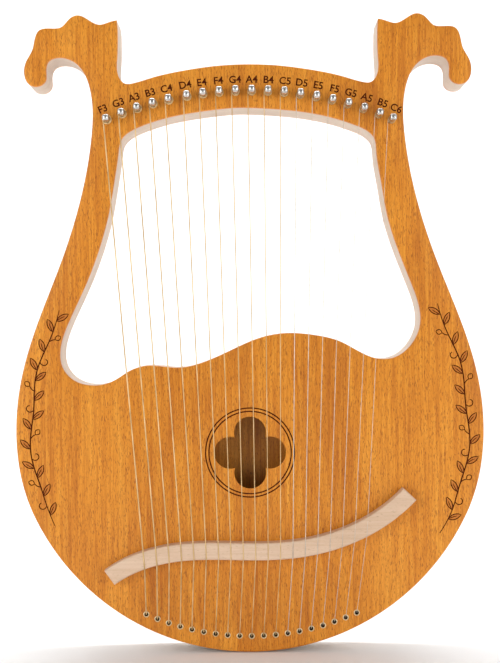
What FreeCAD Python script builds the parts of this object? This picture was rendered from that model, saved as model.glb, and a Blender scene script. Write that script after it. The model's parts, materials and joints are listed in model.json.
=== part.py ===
import FreeCAD, Part
import Sketcher
import math
import os

# A nineteen-string lyre harp with a hollow wooden body, in millimetres.
# +X is to the player's right seen from the front, +Z is up and the front looks towards -Y.
# The origin is under the middle of the whole instrument, at the level of its lowest point.

vector = FreeCAD.Vector
doc = FreeCAD.newDocument("Lyre")

# ---------------------------------------------------------------- driving dimensions

DIMENSIONS = {
    "plate_thickness": 3,
    "core_depth": 32,
    "back_face": 29,
    "body_radius": 180,
    "lower_arc_end": 160,
    "side_wall": 14,
    "chamber_wall_angle": 27,
    "tail_top": 50,
    "tail_lap_top": 60,
    "tail_half_length": 95,
    "bar_half_length": 120,
    "arm_base": 240,
    "head_base": 372,
    "lap_length": 16,
    "pin_arc_radius": 277.4,
    "pin_arc_top": 421,
    "pin_arc_half_angle": 22.6,
    "pin_arc_turn": 0.25,
    "pin_group_turn": 0.35,
    "pin_radius": 2.5,
    "pin_clearance": 0.05,
    "pin_proud": 20,
    "pin_grip": 24.5,
    "pin_bore_depth": 25,
    "pin_square": 4.9,
    "pin_square_length": 8,
    "pin_corner_radius": 2.75,
    "pin_dome_radius": 8.5,
    "pin_eye_radius": 0.7,
    "coil_turns": 4,
    "coil_gap": 0.02,
    "eyelet_arc_radius": 193,
    "eyelet_arc_bottom": 12,
    "eyelet_arc_half_angle": 24.2,
    "eyelet_arc_turn": 0.1,
    "eyelet_barrel_radius": 1.85,
    "eyelet_bore_radius": 1.45,
    "eyelet_flange_radius": 2.35,
    "eyelet_flange_height": 0.6,
    "bridge_width": 13,
    "bridge_height": 11,
    "bridge_crest_inset": 2,
    "bridge_first_string": -79.2,
    "bridge_last_string": 86.7,
    "string_thickest": 1.0,
    "string_thinnest": 0.36,
    "string_height_at_pin": 3.5,
    "string_clearance": 0.05,
    "string_bend_radius": 1,
    "string_bore_radius": 1.6,
    "ball_radius": 2,
    "ball_bore_radius": 0.6,
    "ball_seat_clearance": 0.1,
    "brace_width": 8,
    "brace_depth": 9,
    "brace_end_depth": 3,
    "brace_length": 120,
    "brace_taper": 22,
    "brace_spacing": 124,
    "brace_height": 120,
    "back_brace_length": 240,
    "back_brace_height": 92,
    "sound_hole_height": 150,
    "lobe_radius": 12,
    "lobe_offset": 15,
}

NOTES = ["F3", "G3", "A3", "B3", "C4", "D4", "E4", "F4", "G4", "A4",
         "B4", "C5", "D5", "E5", "F5", "G5", "A5", "B5", "C6"]
STRING_COUNT = len(NOTES)

sheet = doc.addObject("Spreadsheet::Sheet", "Dimensions")
for row, (alias, value) in enumerate(DIMENSIONS.items(), start=1):
    sheet.set(f"A{row}", alias)
    sheet.set(f"B{row}", str(value))
    sheet.setAlias(f"B{row}", alias)
doc.recompute()


def size(alias):
    """The value of one driving dimension, read from the sheet."""
    return float(sheet.get(alias))


def bind(thing, **expressions):
    """Tie properties of an object to the sheet; double underscores stand for dots in the name."""
    for name, expression in expressions.items():
        thing.setExpression(name.replace("__", "."), expression)


FRONT_FACE = size("back_face") - size("core_depth") - 2 * size("plate_thickness")
CORE_REAR = "Dimensions.back_face - Dimensions.plate_thickness"
CORE_FRONT = f"{CORE_REAR} - Dimensions.core_depth"
FACE = f"{CORE_FRONT} - Dimensions.plate_thickness"
TOWARDS_FRONT = FreeCAD.Rotation(vector(1, 0, 0), 90)
NO_TURN = FreeCAD.Rotation()
BEYOND = 260        # reach of a cutting box past the instrument
MARGIN = 1          # how far a cutting solid stands proud of what it cuts

# ---------------------------------------------------------------- outlines, as (x, z) points

# Right-hand edge from the end of the round bottom, up the arm, around the scroll and to its inner corner.
ARM_EDGE = [(172, 130), (176, 166), (172.7, 202), (160.9, 244), (142.2, 292), (126.8, 340),
            (118, 388), (119.2, 425.5), (127, 441.5), (140.5, 448), (149.8, 445), (151.7, 438.5),
            (152.1, 430.5), (158.1, 426.4), (165.1, 428.4), (168.4, 436), (166.5, 446), (162.1, 454),
            (160.2, 462.5), (156.8, 468.8), (147.5, 470.2), (140, 471.2), (134.4, 477), (127.9, 480),
            (119.4, 476.3), (111.4, 472.8), (104.4, 474.6), (98.3, 476)]

# Right-hand half of the head's upper edge, from below that corner to the middle.
HEAD_EDGE = [(97.7, 463.5), (98.1, 447.5), (97.3, 434), (92.5, 428.4), (86, 428.6), (72, 432.7), (48, 437.9),
             (24, 441.2)]
HEAD_TOP = (0, 442.3)

# The hand window, clockwise from the middle of its top, with the wave of the waist along its bottom.
WINDOW = [(0, 409.5), (32, 407.3), (62, 402), (82, 395.4), (90.5, 391), (94.6, 386.5), (96.4, 376),
          (99.4, 356), (103.6, 331), (110.8, 306), (122.3, 276), (128.4, 256), (128.6, 246), (122.5, 231.5),
          (112, 222.2), (99, 219.8), (86, 223.8), (68, 233.4), (49, 238.2), (29, 239.8), (9, 236.6),
          (-12, 228), (-34, 218.4), (-54, 214.2), (-76, 215.9), (-90, 212.2), (-103, 204.3), (-118, 201.2),
          (-132, 205), (-141, 215.5), (-142.3, 228), (-136.8, 246.5), (-123.2, 276), (-111.8, 306),
          (-105, 331), (-100.6, 356), (-97.6, 376), (-95, 386.5), (-90.5, 391), (-82, 395.4), (-62, 402),
          (-32, 407.3)]

# Roof of the sound chamber, from the right side wall to the left one.
CHAMBER_ROOF = [(157.5, 128), (161.8, 158), (158.5, 183), (146, 197), (127, 203.6), (106, 203.8),
                (88, 208), (69, 217), (49, 222), (29, 223.6), (9, 220.4), (-12, 211.6), (-34, 202.2),
                (-54, 198), (-76, 199.2), (-96, 191.5), (-118, 185), (-141, 183.2), (-156.5, 174),
                (-161.8, 155), (-157.5, 128)]

# Middle line of the bridge, from its bass end to its treble end.
BRIDGE_LINE = [(-105.5, 58), (-84, 69.3), (-54, 76.3), (-20, 77.3),
               (14, 76.9), (46, 80.3), (78, 90.4), (119, 119)]


def plan(x, z):
    """A point of an outline, on a sketch plane that lies parallel to the front face."""
    return vector(x, z, 0)


def spline(points):
    """A smooth open curve through outline points."""
    curve = Part.BSplineCurve()
    curve.interpolate([plan(x, z) for x, z in points])
    return curve


def mirrored(points):
    """The same points on the other side of the middle, in the opposite order."""
    return [(-x, z) for x, z in reversed(points)]


def arc_height(x, radius):
    """Height of the lower half of a circle that shares the centre of the round bottom."""
    return size("body_radius") - math.sqrt(radius ** 2 - x ** 2)


def body_outline():
    """The closed outer edge: a round bottom, two arms with scrolls and the head between them."""
    end = size("lower_arc_end")
    joint = (end, arc_height(end, size("body_radius")))
    bottom = Part.Arc(plan(-joint[0], joint[1]), plan(0, 0), plan(*joint))
    right = spline([joint] + ARM_EDGE)
    top = spline([ARM_EDGE[-1]] + HEAD_EDGE + [HEAD_TOP] + mirrored(HEAD_EDGE) + mirrored(ARM_EDGE[-1:]))
    left = spline(mirrored(ARM_EDGE) + mirrored([joint]))
    return [bottom, right, top, left]


def window_outline():
    """The closed edge of the hand window."""
    edge = Part.BSplineCurve()
    edge.interpolate([plan(x, z) for x, z in WINDOW], PeriodicFlag=True)
    return [edge]


def chamber_outline():
    """The closed edge of the sound chamber: flat above the tail block, round sides and a waved roof."""
    floor = size("tail_top")
    radius = size("body_radius") - size("side_wall")
    corner_x = math.sqrt(radius ** 2 - (size("body_radius") - floor) ** 2)
    wall_x = math.cos(math.radians(size("chamber_wall_angle"))) * radius
    middle_x = (corner_x + wall_x) / 2
    corner = (corner_x, floor)
    middle = (middle_x, arc_height(middle_x, radius))
    wall = (wall_x, arc_height(wall_x, radius))
    return [
        Part.LineSegment(plan(-corner_x, floor), plan(*corner)),
        Part.Arc(plan(*corner), plan(*middle), plan(*wall)),
        spline([wall] + CHAMBER_ROOF + mirrored([wall])),
        Part.Arc(plan(-wall[0], wall[1]), plan(-middle[0], middle[1]), plan(-corner_x, floor)),
    ]


def string_angles(arc):
    """Angles of the strings along one of the two arcs, evenly spread from bass to treble, in degrees."""
    half = size(arc + "_half_angle")
    turn = size(arc + "_turn")
    return [half * (2 * number / (STRING_COUNT - 1) - 1) + turn for number in range(STRING_COUNT)]


def pin_places():
    """Places of the pins, on an arc that bulges upwards. All but the five bass pins and the last one
    stand a little further round to the right than an even spread puts them."""
    radius = size("pin_arc_radius")
    centre = size("pin_arc_top") - radius
    angles = string_angles("pin_arc")
    for number in range(5, STRING_COUNT - 1):
        angles[number] += size("pin_group_turn")
    return [(radius * math.sin(math.radians(angle)), centre + radius * math.cos(math.radians(angle)))
            for angle in angles]


def eyelet_places():
    """Places of the eyelets, on an arc that hangs downwards."""
    radius = size("eyelet_arc_radius")
    centre = size("eyelet_arc_bottom") + radius
    return [(radius * math.sin(math.radians(angle)), centre - radius * math.cos(math.radians(angle)))
            for angle in string_angles("eyelet_arc")]


PIN_PLACES = pin_places()
EYELET_PLACES = eyelet_places()

# ---------------------------------------------------------------- sketched bodies


def new_body(label, rear):
    """A body whose front-parallel plane stands at the depth given by the expression rear."""
    body = doc.addObject("PartDesign::Body", label)
    body.Label = label
    bind(body, Placement__Base__y=rear)
    return body


def new_sketch(body, name, role, curves, offset=None):
    """A sketch on one of the body's own origin planes, moved along the plane's normal by offset."""
    sketch = body.newObject("Sketcher::SketchObject", name)
    plane = next(item for item in body.Origin.OriginFeatures if item.Role == role)
    sketch.AttachmentSupport = [(plane, "")]
    sketch.MapMode = "FlatFace"
    if offset:
        bind(sketch, AttachmentOffset__Base__z=offset)
    sketch.addGeometry(curves, False)
    return sketch


def add_pad(body, sketch, length):
    """Grow the body from a sketch, towards the front."""
    pad = body.newObject("PartDesign::Pad", body.Label + "_pad")
    pad.Profile = sketch
    bind(pad, Length=length)
    return pad


def add_holes(body, name, places, radius, depth_from_front, total_depth):
    """Round holes at the given places, cut backwards from the body's front face."""
    circles = [Part.Circle(plan(x, z), vector(0, 0, 1), 1) for x, z in places]
    sketch = new_sketch(body, name + "_sketch", "XZ_Plane", circles, offset=total_depth)
    for index in range(len(places)):
        sketch.addConstraint(Sketcher.Constraint("Radius", index, 1))
        sketch.setExpression(f"Constraints[{index}]", radius)
    pocket = body.newObject("PartDesign::Pocket", name)
    pocket.Profile = sketch
    bind(pocket, Length=depth_from_front)
    doc.recompute()
    return pocket


THICKNESS = "Dimensions.plate_thickness"
DEPTH = "Dimensions.core_depth"


def front_plate_blank():
    """The front plate before its sound hole: outline, window, pin holes and eyelet holes."""
    body = new_body("front_plate_blank", CORE_FRONT)
    sketch = new_sketch(body, "front_outline", "XZ_Plane", body_outline() + window_outline())
    add_pad(body, sketch, THICKNESS)
    add_holes(body, "front_pin_holes", PIN_PLACES,
              "Dimensions.pin_radius + Dimensions.pin_clearance", THICKNESS, THICKNESS)
    add_holes(body, "front_eyelet_holes", EYELET_PLACES,
              "Dimensions.eyelet_barrel_radius", THICKNESS, THICKNESS)
    return body


def back_plate():
    """The back plate, with a seat for each string's ball end."""
    body = new_body("back_plate", "Dimensions.back_face")
    sketch = new_sketch(body, "back_outline", "XZ_Plane", body_outline() + window_outline())
    add_pad(body, sketch, THICKNESS)
    add_holes(body, "ball_seats", EYELET_PLACES,
              "Dimensions.ball_radius + Dimensions.ball_seat_clearance", THICKNESS, THICKNESS)
    return body


def frame_blank():
    """The whole pale frame between the plates, before it is divided into its glued members."""
    body = new_body("frame_blank", CORE_REAR)
    outlines = body_outline() + window_outline() + chamber_outline()
    sketch = new_sketch(body, "frame_outline", "XZ_Plane", outlines)
    add_pad(body, sketch, DEPTH)
    add_holes(body, "pin_bores", PIN_PLACES, "Dimensions.pin_radius + Dimensions.pin_clearance",
              "Dimensions.pin_bore_depth - Dimensions.plate_thickness", DEPTH)
    add_holes(body, "string_bores", EYELET_PLACES, "Dimensions.string_bore_radius", DEPTH, DEPTH)
    return body


# ---------------------------------------------------------------- primitives and booleans


def boolean(kind, label, base, tool):
    """One solid made from two others: kind is Cut or Common."""
    result = doc.addObject("Part::" + kind, label)
    result.Label = label
    result.Base = base
    result.Tool = tool
    return result


def gather(kind, label, members):
    """Several solids in one object: kind is MultiFuse or Compound."""
    result = doc.addObject("Part::" + kind, label)
    result.Label = label
    if kind == "Compound":
        result.Links = members
    else:
        result.Shapes = members
    return result


def swept(label, section, path):
    """A solid made by carrying a section along a path."""
    result = doc.addObject("Part::Sweep", label)
    result.Label = label
    result.Sections = [section]
    result.Spine = (path, [])
    result.Solid = True
    result.Frenet = True
    return result


def cutting_box(label, low_x, high_x, low_z, high_z, front_half):
    """A box across the frame's full depth, or across its front half only."""
    box = doc.addObject("Part::Box", label)
    bind(box, Length=f"({high_x}) - ({low_x})",
         Width=f"Dimensions.core_depth * {0.5 if front_half else 1}",
         Height=f"({high_z}) - ({low_z})",
         Placement__Base__x=str(low_x),
         Placement__Base__y=CORE_FRONT,
         Placement__Base__z=str(low_z))
    return box


def zone(label, full, lap):
    """The space that belongs to one frame member: a full-depth part and its front-half lap."""
    return gather("MultiFuse", label, [cutting_box(label + "_full", *full, False),
                                       cutting_box(label + "_lap", *lap, True)])


def side_zone(label, side, inner, outer, low, high, lap_inner):
    """A zone on one side of the middle, with a lap that reaches down into the member below."""
    lap_low = f"{low} - Dimensions.lap_length"
    if side < 0:
        return zone(label, (f"-{outer}", f"-({inner})", low, high),
                    (f"-{outer}", f"-({lap_inner})", lap_low, low))
    return zone(label, (inner, str(outer), low, high), (lap_inner, str(outer), lap_low, low))


def frame_members():
    """Divide the frame blank into its half-lapped members."""
    blank = frame_blank()
    head_base = "Dimensions.head_base"
    arm_base = "Dimensions.arm_base"
    bar_end = "Dimensions.bar_half_length"
    tail_end = "Dimensions.tail_half_length"
    lap = "Dimensions.lap_length"
    beyond = str(BEYOND)

    head_zone = zone("head_zone", (f"-{beyond}", beyond, head_base, f"2 * {beyond}"),
                     (f"-{beyond}", beyond, f"{head_base} - {lap}", head_base))
    head = boolean("Common", "head_block", blank, head_zone)
    rest = boolean("Cut", "frame_below_head", blank, head_zone)

    arm_inner = f"{bar_end} / 2"
    arms = []
    zones = []
    for side, name in ((-1, "left_arm"), (1, "right_arm")):
        arm_zone = side_zone(name + "_zone", side, arm_inner, BEYOND, arm_base, head_base, bar_end)
        zones.append(arm_zone)
        arms.append(boolean("Common", name, rest, arm_zone))
    rest = boolean("Cut", "frame_below_arms", rest, gather("MultiFuse", "both_arm_zones", zones))

    bar_zone = zone("bar_zone", (f"-{bar_end}", bar_end, "Dimensions.body_radius", arm_base),
                    (f"-{bar_end} - {lap}", f"{bar_end} + {lap}", "Dimensions.body_radius", arm_base))
    bar = boolean("Common", "waist_bar", rest, bar_zone)
    rest = boolean("Cut", "frame_without_bar", rest, bar_zone)

    tail_zone = zone("tail_zone", (f"-{tail_end}", tail_end, "0", "Dimensions.tail_lap_top"),
                     (f"-{tail_end} - {lap}", f"{tail_end} + {lap}", "0", "Dimensions.tail_lap_top"))
    tail = boolean("Common", "tail_block", rest, tail_zone)
    rims = boolean("Cut", "both_rims", rest, tail_zone)

    left_half = cutting_box("left_half", f"-{beyond}", "0", "0", beyond, False)
    left = boolean("Common", "left_side", rims, left_half)
    right = boolean("Cut", "right_side", rims, left_half)
    return [head, bar, tail, left, right] + arms


# ---------------------------------------------------------------- the sound hole


def sound_hole():
    """A plain four-lobed opening, as a cutting solid: one cylinder in the middle and four around it."""
    offset = "Dimensions.lobe_offset"
    lobes = []
    for number, (across, up) in enumerate(((0, 0), (1, 0), (0, 1), (-1, 0), (0, -1))):
        lobe = doc.addObject("Part::Cylinder", f"sound_hole_lobe_{number}")
        lobe.Placement.Rotation = TOWARDS_FRONT
        bind(lobe, Radius="Dimensions.lobe_radius", Height=f"Dimensions.plate_thickness + 2 * {MARGIN}",
             Placement__Base__x=f"{across} * {offset}", Placement__Base__y=f"{CORE_FRONT} + {MARGIN}",
             Placement__Base__z=f"Dimensions.sound_hole_height + {up} * {offset}")
        lobes.append(lobe)
    return gather("MultiFuse", "sound_hole_cutter", lobes)


# ---------------------------------------------------------------- bridge, braces, eyelets and balls


def bridge_edges():
    """The two long edges of the bridge, on either side of its middle line."""
    middle = spline(BRIDGE_LINE)
    half = size("bridge_width") / 2
    upper = []
    lower = []
    for x, z in BRIDGE_LINE:
        along = middle.tangent(middle.parameter(plan(x, z)))[0]
        normal = vector(-along.y, along.x, 0) * half
        upper.append((x + normal.x, z + normal.y))
        lower.append((x - normal.x, z - normal.y))
    return upper, lower


def bridge_crest(x):
    """Height at which the bridge carries a string: just inside the bridge's lower edge."""
    lower = spline(bridge_edges()[1])
    crossing = lower.intersectCC(Part.LineSegment(plan(x, 0), plan(x, size("body_radius"))))[0]
    return crossing.Y + size("bridge_crest_inset")


def bridge_blank():
    """The S-shaped bridge before its string grooves."""
    body = new_body("bridge_blank", FACE)
    upper, lower = bridge_edges()
    curves = [spline(lower), Part.LineSegment(plan(*lower[-1]), plan(*upper[-1])),
              spline(list(reversed(upper))), Part.LineSegment(plan(*upper[0]), plan(*lower[0]))]
    sketch = new_sketch(body, "bridge_outline", "XZ_Plane", curves)
    add_pad(body, sketch, "Dimensions.bridge_height")
    return body


def brace(label, length, height):
    """A wooden brace with tapered ends, standing up along Z on a face that looks towards +Y."""
    body = doc.addObject("PartDesign::Body", label)
    body.Label = label
    half = size(length) / 2
    low = size(height) - half
    high = size(height) + half
    taper = size("brace_taper")
    depth = size("brace_depth")
    end_depth = size("brace_end_depth")
    corners = [(0, low), (end_depth, low), (depth, low + taper), (depth, high - taper),
               (end_depth, high), (0, high)]
    ends = corners[1:] + corners[:1]
    curves = [Part.LineSegment(plan(*start), plan(*end)) for start, end in zip(corners, ends)]
    sketch = new_sketch(body, label + "_side", "YZ_Plane", curves)
    pad = add_pad(body, sketch, "Dimensions.brace_width")
    pad.Midplane = True
    return body


def soundboard_braces():
    """Two upright braces glued behind the front plate, one on each side of the sound hole."""
    braces = []
    for side, name in ((-1, "left_soundboard_brace"), (1, "right_soundboard_brace")):
        body = brace(name, "brace_length", "brace_height")
        bind(body, Placement__Base__x=f"{side} * Dimensions.brace_spacing / 2", Placement__Base__y=CORE_FRONT)
        braces.append(body)
    return braces


def back_brace():
    """A cross brace glued inside the back plate, below the sound hole."""
    body = brace("back_brace", "back_brace_length", "back_brace_height")
    height = size("back_brace_height")
    inside = size("back_face") - size("plate_thickness")
    flat = FreeCAD.Rotation(vector(0, 1, 0), 90).multiply(FreeCAD.Rotation(vector(0, 0, 1), 180))
    body.Placement = FreeCAD.Placement(vector(-height, inside, height), flat)
    return body


def ring(label, outer, inner, length, face_expression):
    """A plain ring whose rear end stands at the given depth, as a cut of two cylinders."""
    rod = doc.addObject("Part::Cylinder", label + "_rod")
    hole = doc.addObject("Part::Cylinder", label + "_hole")
    for cylinder, radius in ((rod, outer), (hole, inner)):
        cylinder.Placement.Rotation = TOWARDS_FRONT
        bind(cylinder, Radius=radius, Height=length, Placement__Base__y=face_expression)
    return boolean("Cut", label, rod, hole)


def at_places(label, places, piece):
    """Copies of a piece at every place of an arc, all in one node."""
    copies = []
    for number, (x, z) in enumerate(places, start=1):
        copy = doc.addObject("App::Link", f"{label}_{number}")
        copy.LinkedObject = piece
        copy.Placement = FreeCAD.Placement(vector(x, 0, z), NO_TURN)
        copies.append(copy)
    return gather("Compound", label, copies)


def string_eyelets():
    """A flanged tube for each string, pressed into the front plate."""
    barrel = ring("eyelet_barrel", "Dimensions.eyelet_barrel_radius", "Dimensions.eyelet_bore_radius",
                  THICKNESS, CORE_FRONT)
    flange = ring("eyelet_flange", "Dimensions.eyelet_flange_radius", "Dimensions.eyelet_bore_radius",
                  "Dimensions.eyelet_flange_height", FACE)
    return at_places("string_eyelets", EYELET_PLACES, gather("MultiFuse", "eyelet", [barrel, flange]))


def string_balls():
    """The metal ball end of each string, seated in the back plate against the tail block."""
    ball = ring("ball_end", "Dimensions.ball_radius", "Dimensions.ball_bore_radius", THICKNESS,
                "Dimensions.back_face")
    return at_places("string_ball_ends", EYELET_PLACES, ball)


# ---------------------------------------------------------------- strings


def string_radius(number):
    """Radius of a string: they get thinner evenly from bass to treble."""
    share = number / (STRING_COUNT - 1)
    return (size("string_thickest") * (1 - share) + size("string_thinnest") * share) / 2


def string_route(number):
    """The corners of a string's path: pin, bridge, eyelet and ball end."""
    radius = string_radius(number)
    pin_x, pin_z = PIN_PLACES[number]
    eyelet_x, eyelet_z = EYELET_PLACES[number]
    first = size("bridge_first_string")
    bridge_x = first + (size("bridge_last_string") - first) * number / (STRING_COUNT - 1)
    eyelet_top = FRONT_FACE - size("eyelet_flange_height") - radius - size("string_clearance")
    return [
        vector(pin_x - size("pin_radius") - radius - size("string_clearance"),
               FRONT_FACE - size("string_height_at_pin"), pin_z),
        vector(bridge_x, FRONT_FACE - size("bridge_height"), bridge_crest(bridge_x)),
        vector(eyelet_x, eyelet_top, eyelet_z),
        vector(eyelet_x, size("back_face"), eyelet_z),
    ]


def rounded_path(label, corners):
    """A line through the corners of a path, with each bend rounded to an arc."""
    radius = size("string_bend_radius")
    edges = []
    start = corners[0]
    for before, corner, after in zip(corners, corners[1:], corners[2:]):
        back = (before - corner).normalize()
        ahead = (after - corner).normalize()
        half_angle = back.getAngle(ahead) / 2
        reach = radius / math.tan(half_angle)
        inside = (back + ahead).normalize() * (radius / math.sin(half_angle) - radius)
        edges.append(Part.LineSegment(start, corner + back * reach).toShape())
        edges.append(Part.Arc(corner + back * reach, corner + inside, corner + ahead * reach).toShape())
        start = corner + ahead * reach
    edges.append(Part.LineSegment(start, corners[-1]).toShape())
    path = doc.addObject("Part::Feature", label + "_path")
    path.Shape = Part.Wire(edges)
    return path


def string_thickness(number, clearance):
    """The radius of a string as an expression on the sheet, with a clearance added."""
    share = number / (STRING_COUNT - 1)
    mix = f"Dimensions.string_thickest * {1 - share} + Dimensions.string_thinnest * {share}"
    return f"({mix}) / 2 + {clearance}"


def strings():
    """Every string from bass to treble: round wire carried along its path."""
    pieces = []
    for number, note in enumerate(NOTES):
        route = string_route(number)
        section = doc.addObject("Part::Circle", "section_" + note)
        down_the_string = FreeCAD.Rotation(vector(0, 0, 1), route[1] - route[0])
        section.Placement = FreeCAD.Placement(route[0], down_the_string)
        bind(section, Radius=string_thickness(number, "0"))
        pieces.append(swept("string_" + note, section, rounded_path("string_" + note, route)))
    return pieces


def groove(label, number, crest, towards):
    """A straight round groove under a string, from just past the bridge's crest along one stretch."""
    along = (towards - crest).normalize()
    cutter = doc.addObject("Part::Cylinder", label)
    bind(cutter, Radius=string_thickness(number, "Dimensions.string_clearance"),
         Height="2 * Dimensions.bridge_width")
    overlap = size("bridge_crest_inset") / 2
    cutter.Placement = FreeCAD.Placement(crest - along * overlap, FreeCAD.Rotation(vector(0, 0, 1), along))
    return cutter


def bridge():
    """The bridge with a snug groove for each string, on both sides of its crest."""
    upper = []
    lower = []
    for number, note in enumerate(NOTES):
        pin, crest, eyelet = string_route(number)[:3]
        upper.append(groove("upper_groove_" + note, number, crest, pin))
        lower.append(groove("lower_groove_" + note, number, crest, eyelet))
    upper_grooves = gather("Compound", "upper_grooves", upper)
    lower_grooves = gather("Compound", "lower_grooves", lower)
    half_cut = boolean("Cut", "half_grooved_bridge", bridge_blank(), upper_grooves)
    return boolean("Cut", "bridge", half_cut, lower_grooves)


# ---------------------------------------------------------------- tuning pins


def tuning_pin_blank():
    """A tuning pin along +Z from its inner end: shank, round-cornered square, domed end and string eye."""
    grip = "Dimensions.pin_grip + Dimensions.pin_proud"
    shank = doc.addObject("Part::Cylinder", "pin_shank")
    bind(shank, Radius="Dimensions.pin_radius", Height=f"{grip} - Dimensions.pin_square_length")
    square = doc.addObject("Part::Box", "pin_square")
    bind(square, Length="Dimensions.pin_square", Width="Dimensions.pin_square",
         Height="Dimensions.pin_square_length",
         Placement__Base__x="-Dimensions.pin_square / 2", Placement__Base__y="-Dimensions.pin_square / 2",
         Placement__Base__z=f"{grip} - Dimensions.pin_square_length")
    corners = doc.addObject("Part::Cylinder", "pin_corners")
    bind(corners, Radius="Dimensions.pin_corner_radius", Height=grip)
    dome = doc.addObject("Part::Sphere", "pin_dome")
    bind(dome, Radius="Dimensions.pin_dome_radius", Placement__Base__z=f"{grip} - Dimensions.pin_dome_radius")
    head = boolean("Common", "pin_head", boolean("Common", "rounded_square", square, corners), dome)
    eye = doc.addObject("Part::Cylinder", "pin_eye")
    eye.Placement.Rotation = FreeCAD.Rotation(vector(0, 1, 0), 90)
    bind(eye, Radius="Dimensions.pin_eye_radius", Height="4 * Dimensions.pin_radius",
         Placement__Base__x="-2 * Dimensions.pin_radius",
         Placement__Base__z=f"{grip} - Dimensions.pin_square_length - 2 * Dimensions.pin_eye_radius")
    return boolean("Cut", "pin_blank", gather("MultiFuse", "pin_rod", [shank, head]), eye)


def string_coil(note, radius):
    """The turns of a string around its pin, one wire's width in front of the straight string."""
    turns = int(size("coil_turns"))
    inner = size("pin_radius") + size("coil_gap")
    valley = inner + radius
    low = size("pin_grip") + size("string_height_at_pin") + 2 * radius + size("string_clearance")
    curves = []
    for turn in range(turns):
        start = low + 2 * radius * turn
        curves.append(Part.Arc(plan(valley, start), plan(valley + radius, start + radius),
                               plan(valley, start + 2 * radius)))
    high = low + 2 * radius * turns
    corners = [(valley, high), (inner, high), (inner, low), (valley, low)]
    curves += [Part.LineSegment(plan(*start), plan(*end)) for start, end in zip(corners, corners[1:])]
    body = doc.addObject("PartDesign::Body", "coil_" + note)
    sketch = new_sketch(body, "coil_profile_" + note, "XZ_Plane", curves)
    turned = body.newObject("PartDesign::Revolution", "coil_turned_" + note)
    turned.Profile = sketch
    turned.ReferenceAxis = (sketch, ["V_Axis"])
    return body


def tuning_pins():
    """A pin with its own turns of string for every note."""
    blank = tuning_pin_blank()
    pins = []
    for number, note in enumerate(NOTES):
        rod = doc.addObject("App::Link", "pin_rod_" + note)
        rod.LinkedObject = blank
        pin = gather("Compound", "tuning_pin_" + note, [rod, string_coil(note, string_radius(number))])
        x, z = PIN_PLACES[number]
        pin.Placement = FreeCAD.Placement(vector(x, FRONT_FACE + size("pin_grip"), z), TOWARDS_FRONT)
        pins.append(pin)
    return pins


# ---------------------------------------------------------------- build, check and write

nodes = [boolean("Cut", "front_plate", front_plate_blank(), sound_hole()), back_plate()]
nodes += frame_members()
nodes += soundboard_braces()
nodes += [back_brace(), bridge(), string_eyelets(), string_balls()]
nodes += tuning_pins()
nodes += strings()
doc.recompute()

for thing in doc.Objects:
    if "Invalid" in thing.State or "Error" in thing.State:
        raise RuntimeError(f"{thing.Label} failed to build: {thing.State}")
for node in nodes:
    if node.Shape.isNull() or not node.Shape.isValid() or not node.Shape.Solids:
        raise RuntimeError(f"{node.Label} has no valid solid")

os.makedirs("parts", exist_ok=True)
for node in nodes:
    node.Shape.exportStep(f"parts/{node.Label}.step")
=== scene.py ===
import json
import math

import bmesh
import bpy
import numpy as np
from mathutils import Matrix, Vector
from mathutils.geometry import delaunay_2d_cdt


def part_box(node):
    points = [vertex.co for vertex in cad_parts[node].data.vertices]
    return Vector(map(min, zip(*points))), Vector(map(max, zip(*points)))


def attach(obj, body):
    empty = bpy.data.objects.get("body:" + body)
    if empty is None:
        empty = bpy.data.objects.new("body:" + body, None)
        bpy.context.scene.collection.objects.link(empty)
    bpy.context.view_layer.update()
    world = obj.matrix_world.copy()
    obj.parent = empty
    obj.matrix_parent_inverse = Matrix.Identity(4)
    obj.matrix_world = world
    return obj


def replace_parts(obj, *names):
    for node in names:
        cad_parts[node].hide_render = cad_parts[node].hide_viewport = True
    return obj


# The looks of a nineteen-string lyre, built around its CAD frame.
# Everything is in metres, +Z is up and the front looks towards -Y. "Plan" points are (x, z) pairs.

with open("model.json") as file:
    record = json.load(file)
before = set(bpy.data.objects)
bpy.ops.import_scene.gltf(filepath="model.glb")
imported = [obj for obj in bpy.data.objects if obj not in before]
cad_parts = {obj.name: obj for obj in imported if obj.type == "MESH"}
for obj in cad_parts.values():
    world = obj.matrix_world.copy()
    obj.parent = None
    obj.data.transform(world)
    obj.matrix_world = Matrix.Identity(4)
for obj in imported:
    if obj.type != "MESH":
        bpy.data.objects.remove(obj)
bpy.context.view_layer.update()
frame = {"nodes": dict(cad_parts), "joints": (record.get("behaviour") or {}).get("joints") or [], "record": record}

MM = 0.001
NODES = frame["nodes"]
NOTES = [joint["name"].split("_")[1] for joint in frame["joints"]]
PINS = {joint["name"].split("_")[1]: Vector(joint["pos_m"]) for joint in frame["joints"]}

PANEL_LOW, PANEL_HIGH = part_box("front_plate")
FRONT = PANEL_LOW.y             # the panel's front face

EDGE_ROUNDING = 1.1 * MM
ENGRAVING_DEPTH = 0.3 * MM
LINE_WIDTH = 1.0 * MM
LABEL_HEIGHT = 5.6 * MM
LABEL_RISE = 9.9 * MM           # from a pin's middle to the middle of its label

# The engraved spray, the same on both sides: where it runs, how it waves and what grows on it in turn.
SPRAY_LOW = 78 * MM
SPRAY_TOP = 270 * MM
SPRAY_INSET = 11.5 * MM
SPRAY_SWAY = 1.2 * MM
SPRAY_WAVE = 66 * MM
SPRAY_SPACING = 2 * MM
SPRAY_THINNING = 4              # every fourth point of the outline guides the stem
GROWTHS = ("leaf", "leaf", "bud", "leaf", "curl")
GROWTH_GAP = 9 * MM
GROWTH_LEAN = 44
GROWTH_LENGTH = 10.5 * MM

# Plain engraved rings around the sound hole, this far beyond its lobes.
RING_GAPS = (4 * MM, 6.5 * MM)
RING_STEPS = 96


# ---------------------------------------------------------------- small mesh tools


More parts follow.
